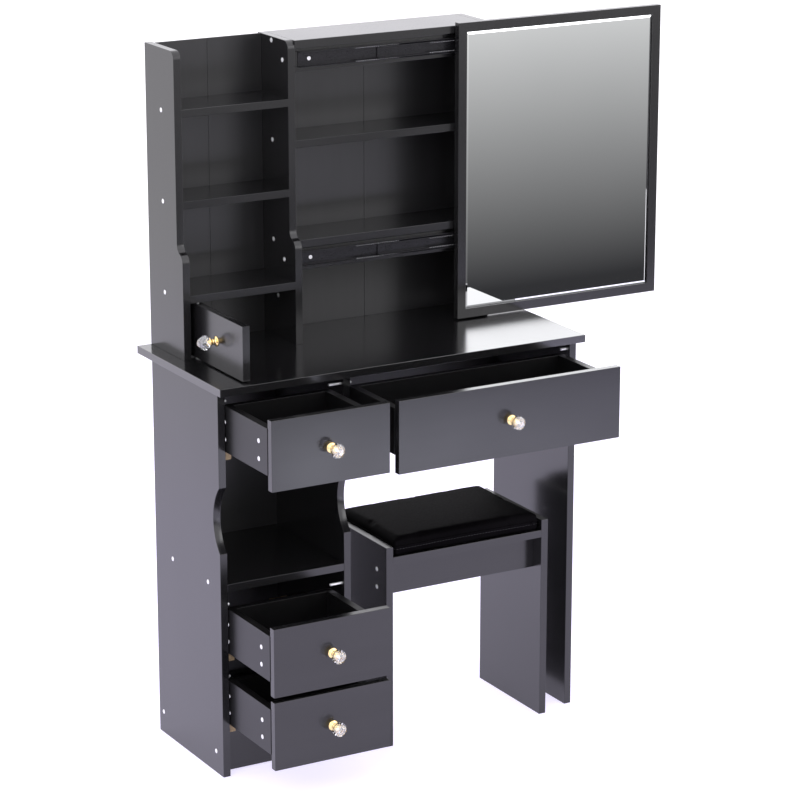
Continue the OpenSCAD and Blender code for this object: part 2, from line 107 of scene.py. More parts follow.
class Shader:
    """Builds one procedural material round a Principled shader, on object coordinates."""

    def __init__(self, name: str) -> None:
        """Starts an empty material.

        Args:
            name: the material's name.
        """
        self.material = bpy.data.materials.new(name)
        self.material.use_nodes = True
        self.tree = self.material.node_tree
        self.surface = self.tree.nodes["Principled BSDF"]
        self.place = self.tree.nodes.new("ShaderNodeTexCoord").outputs["Object"]

    def feed(self, node: Node, **inputs: object) -> None:
        """Sets a node's inputs.

        Args:
            node: the node.
            inputs: a value or a driving socket for each input; an underscore in a name stands
                for a space.
        """
        for name, value in inputs.items():
            socket = node.inputs[name.replace("_", " ")]
            if isinstance(value, NodeSocket):
                self.tree.links.new(value, socket)
            else:
                socket.default_value = value

    def set(self, **inputs: object) -> None:
        """Sets inputs of the surface, each to a value or to the socket that drives it."""
        self.feed(self.surface, **inputs)

    def add(self, kind: str, **inputs: object) -> Node:
        """Adds a node.

        Args:
            kind: the node's type.
            inputs: its inputs, as feed() takes them.

        Returns:
            The new node.
        """
        node = self.tree.nodes.new(kind)
        self.feed(node, **inputs)
        return node

    def stretched(self, scale: Sequence[float]) -> NodeSocket:
        """Returns the object coordinates, stretched by a factor along each axis."""
        return self.add("ShaderNodeMapping", Vector=self.place, Scale=scale).outputs["Vector"]

    def noise(self, scale: float, detail: float = 3.0, stretch: Sequence[float] = (1, 1, 1),
              distortion: float = 0.0) -> NodeSocket:
        """Adds a noise pattern.

        Args:
            scale: how fine the pattern is, per metre.
            detail: how many finer layers it has.
            stretch: factor on each axis; a small one draws the pattern out.
            distortion: how much it swirls.

        Returns:
            The pattern's value, about 0 to 1.
        """
        return self.add("ShaderNodeTexNoise", Vector=self.stretched(stretch), Scale=scale,
                        Detail=detail, Distortion=distortion).outputs["Fac"]

    def cells(self, scale: float) -> NodeSocket:
        """Adds rounded cells, as on pebbled leather.

        Args:
            scale: how fine the cells are, per metre.

        Returns:
            The cells' height.
        """
        node = self.add("ShaderNodeTexVoronoi", Vector=self.place, Scale=scale)
        node.feature = "SMOOTH_F1"
        return node.outputs["Distance"]

    def reach(self, far: float) -> NodeSocket:
        """Measures how far a point lies from the origin.

        Args:
            far: the distance, in metres, that counts as 1.

        Returns:
            The distance as a share of that one.
        """
        node = self.add("ShaderNodeVectorMath", Vector=self.stretched((1 / far,) * 3))
        node.operation = "LENGTH"
        return node.outputs["Value"]

    def ramp(self, value: NodeSocket, low: Sequence[float], high: Sequence[float],
             start: float = 0.3, end: float = 0.7) -> NodeSocket:
        """Turns a value into a colour.

        Args:
            value: the pattern to read.
            low: colour at the start.
            high: colour at the end.
            start: pattern value of the low colour.
            end: pattern value of the high colour.

        Returns:
            The colour socket.
        """
        node = self.add("ShaderNodeValToRGB", Fac=value)
        for stop, colour, at in zip(node.color_ramp.elements, (low, high), (start, end)):
            stop.position = at
            stop.color = (*colour, 1.0)
        return node.outputs["Color"]

    def span(self, value: NodeSocket, low: float, high: float) -> NodeSocket:
        """Maps a noise pattern, which stays mostly between 0.2 and 0.8, on to a range."""
        return self.add("ShaderNodeMapRange", Value=value, From_Min=0.2, From_Max=0.8,
                        To_Min=low, To_Max=high).outputs["Result"]

    def bump(self, *layers: tuple[NodeSocket, float]) -> None:
        """Stacks relief layers on the surface.

        Args:
            layers: pairs of a height pattern and its depth in millimetres.
        """
        below: dict[str, NodeSocket] = {}
        for height, depth in layers:
            node = self.add("ShaderNodeBump", Distance=depth * MM, Height=height, **below)
            below = {"Normal": node.outputs["Normal"]}
        self.set(**below)


@dataclass(frozen=True)
class Finish:
    """A material that each kind of finish paints in its own way."""

    name: str

    def build(self) -> Material:
        """Makes the material and returns it."""
        shader = Shader(self.name)
        self.paint(shader)
        return shader.material

    def paint(self, s: Shader) -> None:
        """Sets up the surface.

        Args:
            s: the material's shader.
        """
        raise NotImplementedError


@dataclass(frozen=True)
class Laminate(Finish):
    """Black satin laminate with a faint embossed grain."""

    grain: Grain
    base: float = 0.006
    roughness: float = 0.21
    relief: float = 0.010
    ior: float = 1.56

    def paint(self, s: Shader) -> None:
        """Sets up the surface."""
        fine = s.noise(900.0, 4.0, self.grain.value, distortion=0.4)
        broad = s.noise(60.0, 3.0, self.grain.value)
        smear = s.noise(5.0, 1.0)
        low, high = ([self.base * c for c in tint] for tint in ((0.8, 0.78, 0.84), (1.25, 1.2, 1.32)))
        s.set(Base_Color=s.ramp(broad, low, high), IOR=self.ior,
              Roughness=s.span(smear, self.roughness - 0.03, self.roughness + 0.03))
        s.bump((fine, self.relief), (broad, self.relief))


class RawWood(Finish):
    """Unpainted softwood with drawn-out rings."""

    def paint(self, s: Shader) -> None:
        """Sets up the surface."""
        rings = s.noise(120.0, 5.0, Grain.DEEP.value, distortion=1.5)
        pores = s.noise(1500.0, 2.0, Grain.DEEP.value)
        s.set(Base_Color=s.ramp(rings, (0.16, 0.11, 0.055), (0.30, 0.22, 0.12)),
              Roughness=s.span(pores, 0.55, 0.72))
        s.bump((pores, 0.05), (rings, 0.06))


@dataclass(frozen=True)
class Metal(Finish):
    """Plated or coated metal with fine scratches and slight blotches."""

    tint: tuple[float, float, float]
    roughness: float
    metallic: float = 1.0
    scratch: float = 0.006

    def paint(self, s: Shader) -> None:
        """Sets up the surface."""
        scratches = s.noise(2600.0, 2.0, (0.08, 1.0, 0.3))
        blotch = s.noise(60.0, 3.0)
        dark = [c * 0.86 for c in self.tint]
        s.set(Base_Color=s.ramp(blotch, dark, self.tint), Metallic=self.metallic,
              Roughness=s.span(scratches, self.roughness * 0.75, self.roughness * 1.3))
        s.bump((scratches, self.scratch))


class Crystal(Finish):
    """Clear cut crystal."""

    def paint(self, s: Shader) -> None:
        """Sets up the surface."""
        haze = s.noise(180.0, 2.0)
        s.set(Base_Color=s.ramp(haze, (0.88, 0.89, 0.92), (0.98, 0.98, 1.0)),
              Roughness=s.span(haze, 0.0, 0.03), Transmission_Weight=1.0, IOR=1.62, Metallic=0.12)


class SilveredGlass(Finish):
    """Mirror glass with the faintest unevenness."""

    def paint(self, s: Shader) -> None:
        """Sets up the surface."""
        haze = s.noise(3.0, 2.0)
        s.set(Base_Color=s.ramp(haze, (0.86, 0.875, 0.88), (0.90, 0.91, 0.915)),
              Roughness=s.span(haze, 0.004, 0.016), Metallic=1.0)


class SeatLeatherWithPaintedShade(Finish):
    """Matte black artificial leather with a pebbled grain, its colour darkened further as painted shade from
    the desk above the stool.
    """

    def paint(self, s: Shader) -> None:
        """Sets up the surface."""
        pebbles = s.cells(620.0)
        creases = s.noise(240.0, 4.0, distortion=0.8)
        wear = s.noise(9.0, 3.0)
        # near-black colour and almost no specular: black leather plus painted shade, since the stool sits
        # under the desktop and drawers
        s.set(Base_Color=s.ramp(wear, (0.0011, 0.0009, 0.0012), (0.0022, 0.0019, 0.0024)),
              Roughness=s.span(creases, 0.56, 0.70), IOR=1.4, Specular_IOR_Level=0.03)
        s.bump((creases, 0.05), (pebbles, 0.16))


class Thread(Finish):
    """Twisted sewing thread."""

    def paint(self, s: Shader) -> None:
        """Sets up the surface."""
        twist = s.noise(4000.0, 1.0, (1.0, 0.4, 1.0))
        s.set(Base_Color=s.ramp(twist, (0.012, 0.011, 0.013), (0.04, 0.038, 0.042)),
              Roughness=s.span(twist, 0.6, 0.8))
        s.bump((twist, 0.05))


@dataclass(frozen=True)
class PaleFloor(Finish):
    """Pale studio floor that glows a little, so that shadows on it stay faint."""

    glow: float = 1.75
    near: tuple[float, float, float] = (0.425, 0.405, 0.50)
    far: tuple[float, float, float] = (0.39, 0.385, 0.395)

    def paint(self, s: Shader) -> None:
        """Sets up the surface."""
        mottle = s.noise(4.0, 2.0)
        tint = s.ramp(s.reach(8.0), self.near, self.far, start=0.2, end=0.55)
        s.set(Base_Color=tint, Emission_Color=tint, Emission_Strength=self.glow,
              Roughness=s.span(mottle, 0.6, 0.7))


class Palette:
    """Every material of the table, built once."""

    def __init__(self) -> None:
        """Builds all the finishes."""
        self.across = Laminate("laminate_across", Grain.ACROSS).build()
        self.top = Laminate("laminate_top", Grain.ACROSS, base=0.005, roughness=0.18, ior=1.85).build()
        self.upright = Laminate("laminate_upright", Grain.UPRIGHT).build()
        # darker, duller copy of the laminate: its lower base colour is painted shade for the drawer boxes and
        # knee rail, which sit in shade
        self.inner = Laminate("laminate_inner_painted_shade", Grain.DEEP, base=0.003, roughness=0.34, ior=1.36).build()
        self.backboard = Laminate("backboard", Grain.UPRIGHT, base=0.007, roughness=0.32, relief=0.02).build()
        self.raw_wood = RawWood("raw_wood").build()
        self.zinc = Metal("zinc", (0.80, 0.80, 0.81), roughness=0.34, metallic=0.55).build()
        self.slide_steel = Metal("slide_steel", (0.014, 0.0135, 0.016), roughness=0.30,
                                 metallic=0.55, scratch=0.01).build()
        self.race_steel = Metal("race_steel", (0.55, 0.55, 0.57), roughness=0.20).build()
        self.gold = Metal("gold", (0.95, 0.72, 0.34), roughness=0.14, scratch=0.003).build()
        self.crystal = Crystal("crystal").build()
        self.silver = SilveredGlass("silvered_glass").build()
        self.leather = SeatLeatherWithPaintedShade("seat_leather").build()
        self.thread = Thread("thread").build()
        self.floor = PaleFloor("pale_floor").build()


# ---- mesh helpers ----


def new_piece(name: str, mesh: Mesh, material: Material | None = None) -> Object:
    """Puts a mesh in the scene as an object at the origin.

    Args:
        name: the object's name.
        mesh: its mesh, in place.
        material: its finish.

    Returns:
        The new object.
    """
    piece = bpy.data.objects.new(name, mesh)
    bpy.context.collection.objects.link(piece)
    if material is not None:
        mesh.materials.clear()
        mesh.materials.append(material)
    return piece


def bake(piece: Object) -> None:
    """Makes a piece's modifiers part of its mesh.

    Args:
        piece: the piece that has them.
    """
    bpy.context.view_layer.update()
    graph = bpy.context.evaluated_depsgraph_get()
    made = bpy.data.meshes.new_from_object(piece.evaluated_get(graph))
    piece.modifiers.clear()
    piece.data = made


def mesh_of(bm: BMesh, name: str, smooth: bool = False) -> Mesh:
    """Turns an edit mesh into a mesh with outward faces and frees it.

    Args:
        bm: the edit mesh.
        name: the mesh's name.
        smooth: whether its faces shade smoothly.

    Returns:
        The new mesh.
    """
    bmesh.ops.recalc_face_normals(bm, faces=bm.faces[:])
    for face in bm.faces:
        face.smooth = smooth
    mesh = bpy.data.meshes.new(name)
    bm.to_mesh(mesh)
    bm.free()
    return mesh


def ring(bm: BMesh, radius: float, height: float, sides: int, turn: float = 0.0) -> list:
    """Adds a ring of vertices round Z and returns them."""
    steps = [2 * math.pi * (i + turn) / sides for i in range(sides)]
    return [bm.verts.new((radius * math.cos(a), radius * math.sin(a), height)) for a in steps]


def skin(bm: BMesh, low: list, high: list) -> None:
    """Joins two rings of the same count with four-sided faces."""
    n = len(low)
    for i in range(n):
        bm.faces.new((low[i], low[(i + 1) % n], high[(i + 1) % n], high[i]))


def loft(bm: BMesh, rings: Sequence[list]) -> None:
    """Joins rings of the same count one after another and closes both ends.

    Args:
        bm: the edit mesh.
        rings: the rings, each a list of vertices.
    """
    for low, high in zip(rings, rings[1:]):
        skin(bm, low, high)
    bm.faces.new(rings[0])
    bm.faces.new(rings[-1])


def lathe(name: str, profile: Sequence[tuple[float, float]], sides: int) -> Mesh:
    """Turns a profile round Z into a closed mesh.

    Args:
        name: the mesh's name.
        profile: pairs of radius and height, in millimetres.
        sides: how many steps the turn takes.

    Returns:
        The turned mesh.
    """
    bm = bmesh.new()
    loft(bm, [ring(bm, r * MM, z * MM, sides) for r, z in profile])
    return mesh_of(bm, name, smooth=True)


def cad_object(node: str) -> Object:
    """Returns the frame's object for a node."""
    return FRAME["nodes"][node]


def room(node: str) -> Box:
    """Returns the lowest and the highest corner of a frame node, in metres."""
    low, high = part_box(node)
    return Vector(low), Vector(high)


def islands(node: str) -> list[Box]:
    """Finds the separate solids of a frame node.

    Args:
        node: the node's name.

    Returns:
        The box of every solid, in metres, in order of place.
    """
    bm = bmesh.new()
    bm.from_mesh(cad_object(node).data)
    bmesh.ops.remove_doubles(bm, verts=bm.verts[:], dist=WELD)
    left, found = set(bm.verts), []
    while left:
        todo, seen = [left.pop()], []
        while todo:
            vert = todo.pop()
            seen.append(vert.co.copy())
            for edge in vert.link_edges:
                other = edge.other_vert(vert)
                if other in left:
                    left.remove(other)
                    todo.append(other)
        found.append((Vector(map(min, zip(*seen))), Vector(map(max, zip(*seen)))))
    bm.free()
    return sorted(found, key=lambda b: tuple(round(v, 6) for v in (*b[0], *b[1])))


def joined(name: str, parts: Sequence[Mesh], material: Material) -> Object:
    """Merges several meshes into one piece, each kept as it is.

    Args:
        name: the piece's name.
        parts: the meshes.
        material: the piece's finish.

    Returns:
        The new piece.
    """
    bm = bmesh.new()
    for part in parts:
        bm.from_mesh(part)
    return new_piece(name, mesh_of(bm, name), material)


def soft_box(low: Vector, high: Vector, edge: float, name: str = "soft_box") -> Mesh:
    """Makes a box with rounded edges.

    Args:
        low: its lowest corner.
        high: its highest corner.
        edge: how much its edges are rounded, in metres.
        name: the mesh's name.

    Returns:
        The box's mesh.
    """
    bm = bmesh.new()
    bmesh.ops.create_cube(bm, size=1.0)
    size, mid = high - low, (high + low) / 2
    for vert in bm.verts:
        vert.co = Vector((vert.co[i] * size[i] for i in range(3))) + mid
    bmesh.ops.bevel(bm, geom=bm.edges[:], offset=edge, segments=2, profile=0.6, affect="EDGES")
    return mesh_of(bm, name)


# ---- what repeats ----


@dataclass(frozen=True)
class Spot:
    """Where one copy of a repeated fitting stands, and how it is turned and sized."""

    at: Vector
    facing: Facing = Facing.UP
    scale: float = 1.0


class Repeater:
    """Copies one template on to many spots, or along a path, with Geometry Nodes."""

    def __init__(self) -> None:
        """Builds the two node trees."""
        self.on_spots = self._spots_tree()
        self.along = self._path_tree()

    @staticmethod
    def _start(name: str) -> NodeTree:
        """Makes a tree whose inputs are a geometry, the piece to copy and its finish.

        Args:
            name: the tree's name.

        Returns:
            The new tree.
        """
        tree = bpy.data.node_groups.new(name, "GeometryNodeTree")
        tree.is_modifier = True
        sockets = (("Geometry", "INPUT", "NodeSocketGeometry"), ("Piece", "INPUT", "NodeSocketObject"),
                   ("Finish", "INPUT", "NodeSocketMaterial"), ("Geometry", "OUTPUT", "NodeSocketGeometry"))
        for label, way, kind in sockets:
            tree.interface.new_socket(label, in_out=way, socket_type=kind)
        return tree

    @staticmethod
    def _end(tree: NodeTree, points: NodeSocket, rotation: NodeSocket,
             scale: NodeSocket | None, start: Node) -> None:
        """Instances the piece on points, then makes the copies real and gives them the finish.

        Args:
            tree: the tree to finish.
            points: where the copies go.
            rotation: how each is turned.
            scale: how each is sized, if it is.
            start: the tree's input node.
        """
        add, link = tree.nodes.new, tree.links.new
        info, copies = add("GeometryNodeObjectInfo"), add("GeometryNodeInstanceOnPoints")
        real, finish = add("GeometryNodeRealizeInstances"), add("GeometryNodeSetMaterial")
        link(start.outputs["Piece"], info.inputs["Object"])
        link(points, copies.inputs["Points"])
        link(info.outputs["Geometry"], copies.inputs["Instance"])
        link(rotation, copies.inputs["Rotation"])
        if scale is not None:
            link(scale, copies.inputs["Scale"])
        link(copies.outputs["Instances"], real.inputs["Geometry"])
        link(real.outputs["Geometry"], finish.inputs["Geometry"])
        link(start.outputs["Finish"], finish.inputs["Material"])
        link(finish.outputs["Geometry"], add("NodeGroupOutput").inputs["Geometry"])

    def _spots_tree(self) -> NodeTree:
        """Builds the tree that puts a copy on every vertex, turned and sized by attributes.

        Returns:
            The tree.
        """
        tree = self._start("copies_on_spots")
        add = tree.nodes.new
        start = add("NodeGroupInput")
        read = {}
        for label in ("turn", "size"):
            node = add("GeometryNodeInputNamedAttribute")
            node.data_type = "FLOAT_VECTOR"
            node.inputs["Name"].default_value = label
            read[label] = node.outputs["Attribute"]
        rotation = add("FunctionNodeEulerToRotation")
        tree.links.new(read["turn"], rotation.inputs["Euler"])
        self._end(tree, start.outputs["Geometry"], rotation.outputs["Rotation"], read["size"], start)
        return tree

    def _path_tree(self) -> NodeTree:
        """Builds the tree that spaces copies evenly along a closed or open line of edges.

        Returns:
            The tree.
        """
        tree = self._start("copies_along_path")
        tree.interface.new_socket("Spacing", in_out="INPUT", socket_type="NodeSocketFloat")
        add, link = tree.nodes.new, tree.links.new
        start = add("NodeGroupInput")
        curve = add("GeometryNodeMeshToCurve")
        points = add("GeometryNodeCurveToPoints")
        points.mode = "LENGTH"
        link(start.outputs["Geometry"], curve.inputs["Mesh"])
        link(curve.outputs["Curve"], points.inputs["Curve"])
        link(start.outputs["Spacing"], points.inputs["Length"])
        self._end(tree, points.outputs["Points"], points.outputs["Rotation"], None, start)
        return tree

    @staticmethod
    def _solid(name: str, base: Mesh, tree: NodeTree, values: dict[str, object],
               template: Mesh) -> Object:
        """Runs a tree on a base mesh and keeps the result as a plain mesh.

        Args:
            name: the new piece's name.
            base: the mesh that the tree reads.
            tree: the tree to run.
            values: the tree's inputs by name, apart from the piece.
            template: the mesh that is copied.

        Returns:
            The finished piece.
        """
        model = bpy.data.objects.new(name + "_template", template)
        bpy.context.collection.objects.link(model)
        piece = new_piece(name, base)
        modifier = piece.modifiers.new("copies", "NODES")
        modifier.node_group = tree
        keys = {s.name: s.identifier for s in tree.interface.items_tree if s.in_out == "INPUT"}
        for label, value in {**values, "Piece": model}.items():
            modifier[keys[label]] = value
        bake(piece)
        bpy.data.objects.remove(model)
        return piece

    def copies(self, name: str, template: Mesh, spots: Sequence[Spot],
               finish: Material) -> Object:
        """Puts a copy of a template on every spot.

        Args:
            name: the new piece's name.
            template: the mesh to copy, standing on Z.
            spots: where the copies go.
            finish: their material.

        Returns:
            The piece that holds all the copies.
        """
        base = bpy.data.meshes.new(name)
        base.from_pydata([tuple(s.at) for s in spots], [], [])
        turn = base.attributes.new("turn", "FLOAT_VECTOR", "POINT")
        turn.data.foreach_set("vector", [v for s in spots for v in s.facing.value])
        size = base.attributes.new("size", "FLOAT_VECTOR", "POINT")
        size.data.foreach_set("vector", [s.scale for s in spots for _ in range(3)])
        return self._solid(name, base, self.on_spots, {"Finish": finish}, template)

    def follow(self, name: str, template: Mesh, path: Sequence[Vector], spacing: float,
               finish: Material) -> Object:
        """Spaces copies of a template along a closed path, each along its direction.

        Args:
            name: the new piece's name.
            template: the mesh to copy, lying along Z.
            path: the path's points.
            spacing: the distance between copies, in metres.
            finish: their material.

        Returns:
            The piece that holds all the copies.
        """
        base = bpy.data.meshes.new(name)
        n = len(path)
        base.from_pydata([tuple(p) for p in path], [(i, (i + 1) % n) for i in range(n)], [])
        return self._solid(name, base, self.along, {"Finish": finish, "Spacing": spacing}, template)


def screw_template() -> Mesh:
    """Makes a low screw head of radius 1 with a cross recess, standing on Z.

    Returns:
        The head's mesh.
    """
    bm = bmesh.new()
    sides, height, crown = 20, 0.18, 0.9
    wide, arm, taper = 0.13, 0.52, 0.7
    mouth, bottom = height * 0.94, height * 0.12
    rings = [ring(bm, 1.0, 0.0, sides), ring(bm, 1.0, height / 2, sides), ring(bm, crown, height, sides)]
    for low, high in zip(rings, rings[1:]):
        skin(bm, low, high)
    bm.faces.new(rings[0])
    corners = [(arm, -wide), (arm, wide), (wide, wide), (wide, arm), (-wide, arm), (-wide, wide),
               (-arm, wide), (-arm, -wide), (-wide, -wide), (-wide, -arm), (wide, -arm), (wide, -wide)]
    rim = [bm.verts.new((x, y, mouth)) for x, y in corners]
    foot = [bm.verts.new((x * taper, y * taper, bottom)) for x, y in corners]
    skin(bm, rim, foot)
    bm.faces.new(foot)
    edges = [bm.edges.get(pair) or bm.edges.new(pair)
             for loop in (rings[-1], rim) for pair in zip(loop, loop[1:] + loop[:1])]
    bmesh.ops.bridge_loops(bm, edges=edges)
    return mesh_of(bm, "screw_template")


# ---- sub-assemblies ----


@dataclass
class Carcass:
    """The laminated boards of the desk, hutch, drawers, door and stool."""

    palette: Palette
    edge: float = 0.5 * MM
    flat_angle: float = 0.5
    sharp_angle: float = 35.0
    upright: tuple[str, ...] = (
        "left_side_panel", "divider_panel", "right_side_panel", "hutch_left_panel",
        "hutch_centre_panel", "hutch_right_panel", "door_panel", "stool_left_leg", "stool_right_leg",
        "mirror_frame",
    )
    across: tuple[str, ...] = (
        "pedestal_shelf", "plinth_boards", "hutch_top", "column_shelf_upper",
        "column_shelf_middle", "cupboard_shelf", "bay_shelf_upper", "bay_shelf_lower",
        "slide_rail_upper", "slide_rail_lower", "stool_aprons", "stool_seat_board",
        *(f"{name}_drawer_front" for name in DRAWERS),
    )
    # these boards take the darker laminate copy, whose colour paints the shade inside the drawers and knee
    # space
    inner: tuple[str, ...] = ("knee_rail", *(f"{name}_drawer_box" for name in DRAWERS))
    backs: tuple[str, ...] = ("hutch_back_panels", "pedestal_back_panel", "mirror_backboard")
    slides: tuple[str, ...] = ("slide_channels", "slide_middle_members", "slide_inner_members")

    def dress(self) -> None:
        """Gives every board rounded edges and its finish."""
        p = self.palette
        groups = ((self.upright, p.upright, self.edge), (self.across, p.across, self.edge),
                  (("desktop",), p.top, self.edge), (self.inner, p.inner, self.edge),
                  (self.backs, p.backboard, self.edge / 2), (("drawer_runners",), p.raw_wood, self.edge),
                  (("stop_pins", "door_pivots"), p.zinc, self.edge),
                  (self.slides, p.slide_steel, self.edge / 2))
        for names, material, edge in groups:
            for name in names:
                self._finish(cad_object(name), material, edge)
                LOG.info("board %s: %s", name, material.name)

    def _finish(self, board: Object, material: Material, edge: float) -> None:
        """Rounds a board's edges and gives it a material.

        Args:
            board: the frame's object.
            material: its finish.
            edge: the rounding, in metres.
        """
        for slot in board.material_slots:
            slot.link = "OBJECT"
            slot.material = material
        weld = board.modifiers.new("weld", "WELD")
        weld.merge_threshold = WELD
        flat = board.modifiers.new("flat", "DECIMATE")
        flat.decimate_type = "DISSOLVE"
        flat.angle_limit = math.radians(self.flat_angle)
        bevel = board.modifiers.new("edges", "BEVEL")
        bevel.width = edge
        bevel.segments = 2
        bevel.limit_method = "ANGLE"
        bevel.angle_limit = math.radians(self.sharp_angle)
        bevel.harden_normals = False


@dataclass
class Screws:
    """Cross-head screws and cam discs on the boards' outer faces."""

    palette: Palette
    repeater: Repeater
    sets: dict[str, str] = field(default_factory=lambda: {
        "panel_screws": "desk",
        **{f"{name}_drawer_cams": f"{name}_drawer" for name in DRAWERS},
        "stool_screws": "stool",
    })

    def build(self) -> None:
        """Puts a detailed head where every plain one stands."""
        template = screw_template()
        for node, body in self.sets.items():
            piece = self.repeater.copies(node + "_heads", template, self._spots(node), self.palette.zinc)
            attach(piece, body)
            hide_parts(node)
            LOG.info("screws %s on %s", piece.name, body)

    @staticmethod
    def _spots(node: str) -> list[Spot]:
        """Finds where a node's heads stand and which way they face.

        Args:
            node: the frame node with the plain heads.

        Returns:
            A spot for every head.
        """
        low, high = room(node)
        middle = (low.x + high.x) / 2
        spots = []
        for a, b in islands(node):
            centre, size = (a + b) / 2, b - a
            radius = max(size) / 2
            if size.y < size.x:
                at, facing = (centre.x, b.y, centre.z), Facing.FRONT
            elif node == "panel_screws" or centre.x < middle:
                at, facing = (b.x, centre.y, centre.z), Facing.LEFT
            else:
                at, facing = (a.x, centre.y, centre.z), Facing.RIGHT
            spots.append(Spot(Vector(at), facing, radius))
        return spots


@dataclass
class Knobs:
    """Cut crystal knobs on turned gold feet."""

    palette: Palette
    repeater: Repeater
    sides: int = 10
    facets: tuple[tuple[float, float], ...] = (
        (7.1, 15.0), (11.0, 17.3), (13.7, 21.2), (14.0, 24.9), (12.7, 29.5), (9.7, 34.1), (5.6, 38.0),
    )
    foot: tuple[tuple[float, float], ...] = (
        (10.0, 0.0), (10.0, 0.9), (9.3, 1.5), (6.8, 2.3), (5.2, 3.6), (4.6, 5.2), (4.5, 6.6), (5.6, 7.1),
        (6.0, 7.7), (5.6, 8.3), (4.9, 8.8), (5.4, 10.2), (7.0, 12.2), (8.6, 14.2), (8.8, 15.0),
        (3.5, 15.0), (3.5, 19.0), (2.5, 20.5),
    )

    def build(self) -> None:
        """Makes the knob of every drawer and of the door."""
        crystal, foot = self._crystal(), lathe("knob_foot", self.foot, sides=36)
        places = {f"{name}_drawer": (f"{name}_drawer", Facing.FRONT) for name in DRAWERS}
        places["door"] = ("cupboard_door", Facing.LEFT)
        for prefix, (body, facing) in places.items():
            low, high = room(prefix + "_knob_foot")
            mid = (low + high) / 2
            at = Vector((mid.x, high.y, mid.z)) if facing is Facing.FRONT else Vector((high.x, mid.y, mid.z))
            spot = [Spot(at, facing)]
            parts = ((crystal, "_knob", "_crystal", self.palette.crystal, "crystal"),
                     (foot, "_knob_foot", "_foot", self.palette.gold, "gold"))
            for template, node, suffix, material, slot in parts:
                piece = self.repeater.copies(prefix + suffix, template, spot, material)
                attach(piece, body)
                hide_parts(prefix + node)
                LOG.info("knob %s on %s", piece.name, body)

    def _crystal(self) -> Mesh:
        """Cuts a ball into staggered triangular facets, with a flat table in front.

        Returns:
            The crystal's mesh.
        """
        bm = bmesh.new()
        rings = [ring(bm, r * MM, z * MM, self.sides, 0.5 * (i % 2)) for i, (r, z) in enumerate(self.facets)]
        n = self.sides
        for level, (low, high) in enumerate(zip(rings, rings[1:])):
            for i in range(n):
                j = (i + 1) % n
                if level % 2 == 0:
                    bm.faces.new((low[i], low[j], high[i]))
                    bm.faces.new((low[j], high[j], high[i]))
                else:
                    bm.faces.new((low[i], high[j], high[i]))
                    bm.faces.new((low[i], low[j], high[j]))
        bm.faces.new(rings[0])
        bm.faces.new(rings[-1])
        return mesh_of(bm, "knob_crystal")


@dataclass
class Mirror:
    """The mirror's glass, with a narrow ground bevel all round."""

    palette: Palette
    lip: float = 6.2 * MM
    bevel: float = 5.0 * MM
    step: float = 0.9 * MM

    def build(self) -> None:
        """Makes the glass with its bevelled border, which starts where the frame's lip ends."""
        low, high = room("mirror_glass")
        border = low.y + self.step
        bm = bmesh.new()
        loops = []
        for inset, y in ((0.0, high.y), (0.0, border), (self.lip, border), (self.lip + self.bevel, low.y)):
            left, right, foot, top = low.x + inset, high.x - inset, low.z + inset, high.z - inset
            corners = ((left, foot), (right, foot), (right, top), (left, top))
            loops.append([bm.verts.new((x, y, z)) for x, z in corners])
        loft(bm, loops)
        piece = new_piece("mirror_bevelled_glass", mesh_of(bm, "mirror_bevelled_glass"), self.palette.silver)
        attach(piece, "mirror")
        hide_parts("mirror_glass")
        LOG.info("mirror glass built")


